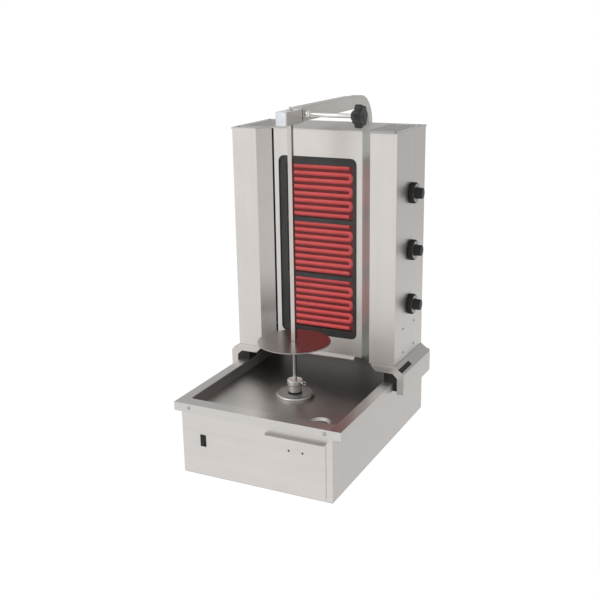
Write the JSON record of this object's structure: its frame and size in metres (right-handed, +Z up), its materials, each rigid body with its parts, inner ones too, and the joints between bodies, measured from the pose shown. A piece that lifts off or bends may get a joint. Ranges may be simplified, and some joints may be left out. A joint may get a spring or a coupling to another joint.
{
  "type": "vertical rotisserie broiler",
  "caption": "Countertop electric vertical broiler for gyros: steel base with drip tray and drawer, driven spit with disc, sliding glass-fronted heater column, bent top arm.",
  "frame": {"origin": "centre of the base's underside, on the surface it stands on", "axes": "+Z up along the spit, the open front faces -Y, the heat control knobs are on +X"},
  "size_m": [0.567, 0.799, 0.9914],
  "materials": {
    "brushed_steel": "brushed",
    "satin_steel": "satin",
    "galvanised_steel": "satin",
    "polished_steel": "polished",
    "fastener_steel": "satin",
    "dark_screw": "satin",
    "cast_aluminium": "matte",
    "motor_paint": "satin",
    "rubber": "matte",
    "black_plastic": "satin",
    "phenolic": "matte",
    "white_ptfe": "satin",
    "ceramic_glass": "gloss",
    "heater_insulation": "matte",
    "glowing_coil": "matte"
  },
  "bodies": {
    "base": {"base_shell": "brushed_steel", "bottom_plate": "galvanised_steel", "drip_tray": "satin_steel", "shaft_seal": "rubber", "gear_case": "cast_aluminium", "motor_can": "motor_paint", "motor_bracket": "galvanised_steel", "drawer_runners": "galvanised_steel", "switch_bezel": "black_plastic", "cable_gland": "black_plastic", "terminal_box": "phenolic", "rim_screws": "fastener_steel", "post_bracket": "brushed_steel", "arm_post": "brushed_steel", "arm_sleeve": "brushed_steel", "sleeve_liner": "white_ptfe", "head_block": "white_ptfe", "head_plates": "brushed_steel", "clamp_nut": "polished_steel", "bracket_bolts": "fastener_steel"},
    "carriage": {"wing_right": "brushed_steel", "wing_left": "brushed_steel", "centre_panel": "brushed_steel", "drip_lip": "brushed_steel", "roof_plate": "satin_steel", "floor_plate": "satin_steel", "back_panel": "satin_steel", "ceramic_glass": "ceramic_glass", "glass_frame": "galvanised_steel", "heater_tray_top": "heater_insulation", "heater_tray_middle": "heater_insulation", "heater_tray_bottom": "heater_insulation", "heating_coil_top": "glowing_coil", "heating_coil_middle": "glowing_coil", "heating_coil_bottom": "glowing_coil", "regulator_top": "phenolic", "regulator_middle": "phenolic", "regulator_bottom": "phenolic", "saddle_right": "brushed_steel", "saddle_left": "brushed_steel", "saddle_plugs": "black_plastic", "slide_pads": "black_plastic", "column_screws": "fastener_steel"},
    "knob_top": {"knob_top": "black_plastic", "spindle_top": "polished_steel"},
    "knob_middle": {"knob_middle": "black_plastic", "spindle_middle": "polished_steel"},
    "knob_bottom": {"knob_bottom": "black_plastic", "spindle_bottom": "polished_steel"},
    "drive": {"drive_shaft": "polished_steel", "spit_socket": "polished_steel"},
    "thumb_screw": {"thumb_screw": "polished_steel"},
    "spit": {"spit_rod": "polished_steel", "meat_disc": "satin_steel"},
    "clamp_rod": {"clamp_rod": "polished_steel"},
    "star_knob": {"star_knob": "black_plastic"},
    "drawer": {"drawer_front": "brushed_steel", "drawer_pan": "satin_steel", "drawer_screws": "dark_screw"},
    "rocker": {"switch_rocker": "black_plastic"}
  },
  "joints": [
    {"name": "carriage_slide", "type": "slide", "parent": "base", "child": "carriage", "axis": [0, 1, 0], "range_m": [-0.04, 0.08]},
    {"name": "knob_top_turn", "type": "hinge", "parent": "carriage", "child": "knob_top", "pos_m": [0.252, 0.147, 0.7325], "axis": [1, 0, 0], "range_deg": [0, 270]},
    {"name": "knob_middle_turn", "type": "hinge", "parent": "carriage", "child": "knob_middle", "pos_m": [0.252, 0.147, 0.5685], "axis": [1, 0, 0], "range_deg": [0, 270]},
    {"name": "knob_bottom_turn", "type": "hinge", "parent": "carriage", "child": "knob_bottom", "pos_m": [0.252, 0.147, 0.4075], "axis": [1, 0, 0], "range_deg": [0, 270]},
    {"name": "spit_turn", "type": "hinge", "parent": "base", "child": "drive", "pos_m": [0, -0.102, 0.2], "axis": [0, 0, 1], "continuous": true},
    {"name": "thumb_screw_turn", "type": "hinge", "parent": "drive", "child": "thumb_screw", "pos_m": [0.02, -0.102, 0.214], "axis": [1, 0, 0], "range_deg": [0, 360]},
    {"name": "spit_lift", "type": "slide", "parent": "drive", "child": "spit", "axis": [0, 0, 1], "range_m": [0, 0.045]},
    {"name": "clamp_travel", "type": "slide", "parent": "base", "child": "clamp_rod", "axis": [1, 0, 0], "range_m": [0, 0.0036]},
    {"name": "clamp_turn", "type": "hinge", "parent": "clamp_rod", "child": "star_knob", "pos_m": [0.153, -0.045, 0.9605], "axis": [1, 0, 0], "range_deg": [0, 720]},
    {"name": "drawer_slide", "type": "slide", "parent": "base", "child": "drawer", "axis": [0, -1, 0], "range_m": [0, 0.25]},
    {"name": "rocker_tilt", "type": "hinge", "parent": "base", "child": "rocker", "pos_m": [-0.161, -0.343, 0.104], "axis": [1, 0, 0], "range_deg": [0, 16]}
  ],
  "couplings": [
    {"joint": "clamp_travel", "follows": "clamp_turn", "m_per_rad": 0.00027852}
  ]
}
